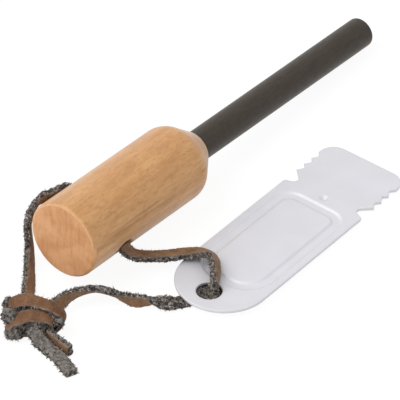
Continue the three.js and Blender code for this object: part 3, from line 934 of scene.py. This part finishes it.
def turned_rings(profile, segments):
    vertices = []
    for along, radius in profile:
        for k in range(segments):
            angle = 2 * math.pi * k / segments
            vertices.append(Vector((along, radius * math.cos(angle), radius * math.sin(angle))))
    return vertices


def lathe_mesh(name, profile, segments):
    """A closed body turned about X from points of (along, radius); the ends lie on the axis."""
    start, end = Vector((profile[0][0], 0, 0)), Vector((profile[-1][0], 0, 0))
    vertices = [start, *turned_rings(profile[1:-1], segments), end]
    last = len(vertices) - 1
    rings = len(profile) - 2
    faces = []
    for k in range(segments):
        after = (k + 1) % segments
        faces.append((0, 1 + after, 1 + k))
        for ring in range(rings - 1):
            low, high = 1 + ring * segments, 1 + (ring + 1) * segments
            faces.append((low + k, low + after, high + after, high + k))
        base = 1 + (rings - 1) * segments
        faces.append((last, base + k, base + after))
    return new_mesh(name, vertices, faces)


handle_frame = Matrix.Translation(butt) @ Matrix.Rotation(axis_slope, 4, "Y")


def place_piece(name, mesh, matrix, body, sharp=35):
    mesh.shade_smooth()
    mesh.set_sharp_from_angle(angle=math.radians(sharp))
    obj = add_object(name, mesh)
    obj.matrix_world = matrix
    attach(obj, body)
    return obj


def along_steps(start, end, step):
    count = max(1, round(abs(end - start) / step))
    return [start + (end - start) * i / count for i in range(count + 1)]


def handle_mesh():
    slope = math.atan2(handle_radius - nose_face_radius, nose_length)
    blend_x = handle_length - nose_length - nose_blend_radius * math.tan(slope / 2)
    blend_r = handle_radius - nose_blend_radius
    butt_arc = arc(butt_round, handle_radius - butt_round, butt_round, math.pi, QUARTER, butt_segments)
    nose_arc = arc(blend_x, blend_r, nose_blend_radius, QUARTER, QUARTER - slope, nose_segments)
    body = [(x, handle_radius) for x in along_steps(butt_round, blend_x, turned_step)[1:-1]]
    face = [(0, radius) for radius in along_steps(0, handle_radius - butt_round, butt_step)[:-1]]
    profile = [*face, *butt_arc, *body, *nose_arc, (handle_length, nose_face_radius), (handle_length, 0)]
    outer = lathe_mesh("handle_outer", profile, handle_segments)
    surface = handle_radius - lace_hole_chamfer
    reach = handle_radius + cut_margin
    mouth = lace_hole_radius + lace_hole_chamfer + cut_margin
    hole = lathe_mesh("handle_hole", [
        (-reach, 0), (-reach, mouth), (-surface, lace_hole_radius),
        (surface, lace_hole_radius), (reach, mouth), (reach, 0),
    ], lace_hole_segments)
    turn = Matrix.Rotation(lace_hole_lean, 4, "X") @ Matrix.Rotation(QUARTER, 4, "Z")
    hole.transform(Matrix.Translation((lace_hole_from_butt, 0, 0)) @ turn)
    bore_end = handle_length - rod_buried_length - resin_inset
    bore_mouth = handle_length + cut_margin
    bore = lathe_mesh("handle_bore", [
        (bore_end, 0), (bore_end, bore_radius),
        (bore_mouth, bore_radius), (bore_mouth, 0),
    ], rod_segments)
    return cut(outer, [hole, bore])


def cut(mesh, cutters):
    """The mesh without the cutters, by exact booleans."""
    body = add_object("cut_body", mesh)
    tools = []
    for cutter in cutters:
        tool = add_object("cut_tool", cutter)
        modifier = body.modifiers.new("cut", "BOOLEAN")
        modifier.operation = "DIFFERENCE"
        modifier.solver = "EXACT"
        modifier.object = tool
        tools.append(tool)
    bpy.context.view_layer.update()
    shaped = body.evaluated_get(bpy.context.evaluated_depsgraph_get())
    result = bpy.data.meshes.new_from_object(shaped)
    for obj in (body, *tools):
        bpy.data.objects.remove(obj)
    return result


def make_handle():
    mesh = handle_mesh()
    mesh.materials.clear()
    for material in (beech_side(), beech_end(), beech_rim_painted_highlight()):
        mesh.materials.append(material)
    flat_radius = handle_radius - butt_round
    # On the butt's rounding, the side towards the light gets the lighter side wood and a painted highlight
    # line along the ridge. The other side gets end wood.
    for polygon in mesh.polygons:
        center = polygon.center
        radius = math.hypot(center.y, center.z)
        rim_toward_light = center.z * rim_light_z + center.y * rim_light_y > rim_light_from * radius
        if radius < flat_radius:
            polygon.material_index = 1 if center.x < butt_round / 2 else 0
        elif center.x < rim_line_depth:
            polygon.material_index = 2 if rim_toward_light else 1
        elif center.x < butt_round * 0.9:
            polygon.material_index = 0 if rim_toward_light else 1
        else:
            polygon.material_index = 0
    handle = place_piece("handle_body_wood", mesh, handle_frame, "handle_body")
    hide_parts("handle")


def make_rod():
    start = handle_length - rod_buried_length
    end = (rod_end - butt).length
    rim = rod_radius - rod_rim_round
    straight = along_steps(start + rod_rim_round, end - rod_rim_round, turned_step)[1:-1]
    profile = [
        (start, 0),
        *arc(start + rod_rim_round, rim, rod_rim_round, math.pi, QUARTER, 6),
        *[(x, rod_radius) for x in straight],
        *arc(end - rod_rim_round, rim, rod_rim_round, QUARTER, 0, 10),
        (end, 0),
    ]
    mesh = lathe_mesh("rod_mesh", profile, rod_segments)
    mesh.materials.append(ferrocerium())
    rod = place_piece("rod_dark", mesh, handle_frame, "handle_body")
    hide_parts("ferro_rod")


def make_resin():
    outer = bore_radius - resin_play
    inner = rod_radius + resin_play
    start = handle_length - rod_buried_length
    end = handle_length - resin_inset
    middle = (inner + outer) / 2
    section = [(start, inner), (start, outer), (end, outer), (end - resin_play, middle), (end, inner)]
    faces = []
    for ring in range(len(section)):
        after_ring = (ring + 1) % len(section)
        faces += ring_faces(ring * rod_segments, after_ring * rod_segments, rod_segments)
    mesh = new_mesh("resin_mesh", turned_rings(section, rod_segments), faces)
    mesh.materials.append(noisy_material(
        "cured_resin", (0.5, 0.4, 0.22), 0.3, (700, 2, 0.5),
        [(0.3, (0.4, 0.3, 0.16)), (0.7, (0.56, 0.46, 0.28))]))
    ring_piece = place_piece("resin_ring", mesh, handle_frame, "handle_body")
    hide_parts("rod_epoxy")


def striker_edge():
    """One long edge of the striker from shoulder to head, on the +Y side."""
    half = striker_half_width
    root_y = striker_neck_half_width + striker_neck_root_radius
    shoulder_x = striker_shoulder - striker_shoulder_round
    edge = [
        *arc(shoulder_x, half - striker_shoulder_round, striker_shoulder_round, QUARTER, 0,
             corner_segments),
        *arc(striker_neck_root, root_y, striker_neck_root_radius,
             striker_neck_root_from, striker_neck_root_to, corner_segments),
    ]
    for i in range(tooth_gaps):
        tip = tooth_first + i * tooth_pitch
        valley = tip + tooth_valley_share * tooth_pitch
        edge.append((tip, half))
        edge.append(((tip + valley) / 2, half - tooth_depth * tooth_valley_share))
        edge.append((valley, half - tooth_depth))
    edge.append((tooth_first + tooth_gaps * tooth_pitch, half))
    head_x = striker_head_end - striker_head_round
    edge += arc(head_x, half - striker_head_round, striker_head_round, QUARTER, 0, head_segments)
    return edge


def striker_outline():
    """The outline of the striker, anticlockwise."""
    edge = striker_edge()
    mirrored = [(x, -y) for x, y in reversed(edge)]
    round_end = arc(striker_half_width - striker_hole_to_tip, 0, striker_half_width,
                    -QUARTER, -3 * QUARTER, round_end_segments)
    outline = [*edge, *mirrored, *round_end]
    outline.reverse()
    return [Vector(point) for point in outline]


def inset_loop(loop, distance):
    """A closed anticlockwise loop moved inwards by a small distance."""
    moved = []
    for i, point in enumerate(loop):
        before = (point - loop[i - 1]).normalized()
        after = (loop[(i + 1) % len(loop)] - point).normalized()
        normal = Vector((-(before + after).y, (before + after).x))
        normal = normal.normalized() if normal.length > 0.1 else Vector((-before.y, before.x))
        moved.append(point + normal * distance)
    return moved


def drop_close(loop, gap):
    kept = []
    for point in loop:
        if not kept or (point - kept[-1]).length > gap:
            kept.append(point)
    while (kept[0] - kept[-1]).length <= gap:
        kept.pop()
    return kept


def groove_loop(margin):
    near_x = groove_start + groove_near_radius
    near_y = groove_half_width - groove_near_radius
    near = groove_near_radius + margin
    far_x = groove_end - groove_far_radius
    far_y = groove_half_width - groove_far_radius
    far = groove_far_radius + margin
    points = [
        *arc(far_x, far_y, far, 0, QUARTER, groove_far_segments),
        *arc(near_x, near_y, near, QUARTER, 2 * QUARTER, groove_near_segments),
        *arc(near_x, -near_y, near, 2 * QUARTER, 3 * QUARTER, groove_near_segments),
        *arc(far_x, -far_y, far, 3 * QUARTER, 4 * QUARTER, groove_far_segments),
    ]
    return [Vector(point) for point in points]


def circle_loop(x, radius, segments):
    return [Vector(point) for point in arc(x, 0, radius, 0, 2 * math.pi, segments)[:-1]]


def hole_loop(margin):
    return circle_loop(0, striker_hole_radius + margin, hole_segments)


def dimple_loop(radius):
    return circle_loop(dimple_from_hole, radius, dimple_segments)


def striker_mesh():
    """The pressed sheet: flat rim and middle with a groove between, dimple, hole and rounded edges."""
    outline = drop_close(striker_outline(), least_gap)
    rim = inset_loop(outline, edge_round)
    groove_low, groove_high = -groove_wall_rounding, groove_wall_run + groove_wall_rounding
    profile = []
    for i in range(groove_steps + 1):
        share = i / groove_steps
        profile.append((groove_high + (groove_low - groove_high) * share, smooth_share(share)))
    profile += [(-groove_floor_width - margin, drop) for margin, drop in reversed(profile)]
    groove_loops = [(groove_loop(margin), groove_depth * drop) for margin, drop in profile]
    dimple_loops = []
    for i in range(dimple_steps):
        share = i / dimple_steps
        dimple_loops.append((dimple_loop(dimple_radius * (1 - share)), dimple_depth * smooth_share(share)))
    vertices, faces, places = [], [], {}

    def add(point, height):
        key = (round(point.x, 7), round(point.y, 7), round(height, 7))
        if key not in places:
            places[key] = len(vertices)
            vertices.append(Vector((point.x, point.y, height)))
        return places[key]

    def bridge(first, first_height, second, second_height):
        count = len(first)
        low = [add(point, first_height) for point in first]
        high = [add(point, second_height) for point in second]
        for k in range(count):
            after = (k + 1) % count
            faces.append((low[k], low[after], high[after], high[k]))

    def bridge_all(loops, top):
        for (first, drop_a), (second, drop_b) in zip(loops, loops[1:]):
            bridge(first, top - drop_a, second, top - drop_b)

    flat_loops = [
        rim,
        hole_loop(edge_round),
        groove_loops[0][0],
        dimple_loops[0][0],
        inset_loop(outline, edge_round + flat_margin),
        hole_loop(edge_round + flat_margin),
        groove_loop(groove_high + flat_margin),
        dimple_loop(dimple_radius + flat_margin),
    ]
    points, edges = [], []
    for loop in flat_loops:
        base = len(points)
        points += loop
        edges += [(base + k, base + (k + 1) % len(loop)) for k in range(len(loop))]
    flat_points, _, flat_faces, _, _, _ = delaunay_2d_cdt(points, edges, [], 1, 1e-7)
    dimple_center = Vector((dimple_from_hole, 0))

    def is_open(center):
        in_hole = center.length < striker_hole_radius + edge_round
        in_dimple = (center - dimple_center).length < dimple_radius
        inside_x = groove_start - groove_high < center.x < groove_end + groove_high
        inside_y = abs(center.y) < groove_half_width + groove_high
        in_groove = inside_x and inside_y and inside_groove(center, groove_high)
        return in_hole or in_dimple or in_groove

    kept = []
    for face in flat_faces:
        center = sum((flat_points[k] for k in face), Vector((0, 0))) / len(face)
        if not is_open(center):
            kept.append([flat_points[k] for k in face])
    for side in (1, -1):
        top = striker_sheet if side == 1 else 0
        start = len(faces)
        for corners in kept:
            faces.append(tuple(add(corner, top) for corner in corners))
        bridge_all(groove_loops, top)
        middle_loop = groove_loop(profile[-1][0] - flat_margin)
        bridge(groove_loops[-1][0], top, middle_loop, top)
        faces.append(tuple(add(point, top) for point in middle_loop))
        bridge_all(dimple_loops, top)
        floor_loop, floor_drop = dimple_loops[-1]
        faces.append(tuple(add(point, top - floor_drop) for point in floor_loop))
        if side == -1:
            faces[start:] = [tuple(reversed(face)) for face in faces[start:]]
    soft = edge_round * edge_corner_share
    steps = [
        (edge_round, striker_sheet),
        (soft, striker_sheet - soft),
        (0, striker_sheet - edge_round),
        (0, edge_round),
        (soft, soft),
        (edge_round, 0),
    ]
    for (inset_a, height_a), (inset_b, height_b) in zip(steps, steps[1:]):
        bridge(inset_loop(outline, inset_a), height_a, inset_loop(outline, inset_b), height_b)
        bridge(hole_loop(inset_b), height_b, hole_loop(inset_a), height_a)
    mesh = new_mesh("striker_mesh", vertices, faces)
    mesh.validate()
    build = bmesh.new()
    build.from_mesh(mesh)
    bmesh.ops.recalc_face_normals(build, faces=build.faces)
    build.to_mesh(mesh)
    build.free()
    return mesh


def inside_groove(point, margin):
    """Whether a point lies in the rounded rectangle of the groove grown by a margin."""
    far_x = groove_end - groove_far_radius
    radius = groove_far_radius if point.x > far_x - groove_far_radius else groove_near_radius
    low_x = groove_start + radius
    high_x = groove_end - radius
    dx = max(low_x - point.x, point.x - high_x, 0)
    dy = max(abs(point.y) - groove_half_width + radius, 0)
    return math.hypot(dx, dy) < radius + margin


def make_striker():
    mesh = striker_mesh()
    mesh.materials.append(satin_steel())
    slope = math.asin(striker_up.x)
    base = hole_middle - striker_up * striker_sheet / 2
    matrix = Matrix.Translation(base) @ Matrix.Rotation(slope, 4, "Y")
    striker = place_piece("striker_plate", mesh, matrix, "striker_body", sharp=50)
    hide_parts("striker")


make_handle()
make_rod()
make_resin()
make_striker()

# Floor, world and lamps
floor_half_size = 3
below_floor = 0.02 * MM
floor_glow = 0.92
world_level = 0.62
# Name, place, size, power and color
lamp_facts = [
    ("key", (-0.72, 0.66, 1.14), 1.4, 12.9, (1, 0.98, 0.95)),
    ("fill", (-0.3, -1.1, 0.9), 1.2, 0.6, (0.97, 0.98, 1)),
]


def add_shader(tree, kind, color, strength=None):
    node = tree.nodes.new(kind)
    set_inputs(node, {"Color": (*color, 1)})
    if strength is not None:
        set_inputs(node, {"Strength": strength})
    return node.outputs[0]


def larger(tree, first, second):
    node = tree.nodes.new("ShaderNodeMath")
    node.operation = "MAXIMUM"
    tree.links.new(first, node.inputs[0])
    tree.links.new(second, node.inputs[1])
    return node.outputs[0]


def white_for_view(tree, seen, lit, output_kind):
    """Shows one shader to the camera and in gloss, and the other to everything else."""
    path = tree.nodes.new("ShaderNodeLightPath").outputs
    glossy = larger(tree, path["Is Camera Ray"], path["Is Glossy Ray"])
    mix = tree.nodes.new("ShaderNodeMixShader")
    for source, socket in zip((larger(tree, glossy, path["Is Transmission Ray"]), lit, seen), mix.inputs):
        tree.links.new(source, socket)
    tree.links.new(mix.outputs[0], tree.nodes.new(output_kind).inputs["Surface"])


def make_floor():
    half = floor_half_size
    corners = [(-half, -half, 0), (half, -half, 0), (half, half, 0), (-half, half, 0)]
    material = bpy.data.materials.new("floor_white")
    material.use_nodes = True
    tree = material.node_tree
    tree.nodes.clear()
    seen = tree.nodes.new("ShaderNodeAddShader")
    tree.links.new(add_shader(tree, "ShaderNodeEmission", (1, 1, 1), floor_glow), seen.inputs[0])
    tree.links.new(add_shader(tree, "ShaderNodeBsdfDiffuse", (0.12, 0.12, 0.12)), seen.inputs[1])
    plain = add_shader(tree, "ShaderNodeBsdfDiffuse", (0.8, 0.8, 0.8))
    white_for_view(tree, seen.outputs[0], plain, "ShaderNodeOutputMaterial")
    floor = mesh_object("floor", corners, [(0, 1, 2, 3)], [material], smooth=False)
    floor.location.z = -below_floor


def make_world():
    world = bpy.data.worlds.new("studio")
    bpy.context.scene.world = world
    world.use_nodes = True
    tree = world.node_tree
    tree.nodes.clear()
    seen = add_shader(tree, "ShaderNodeBackground", (1, 1, 1), 1)
    lit = add_shader(tree, "ShaderNodeBackground", (0.96, 0.98, 1), world_level)
    white_for_view(tree, seen, lit, "ShaderNodeOutputWorld")


def make_lamp(name, place, size, power, color):
    data = bpy.data.lights.new(name, "AREA")
    data.shape = "DISK"
    data.size = size
    data.energy = power
    data.color = color
    lamp = add_object(name, data)
    lamp.location = place
    lamp.rotation_euler = (-Vector(place)).to_track_quat("-Z", "Y").to_euler()


make_floor()
make_world()
for lamp_values in lamp_facts:
    make_lamp(*lamp_values)
bpy.context.scene.view_settings.view_transform = "Standard"
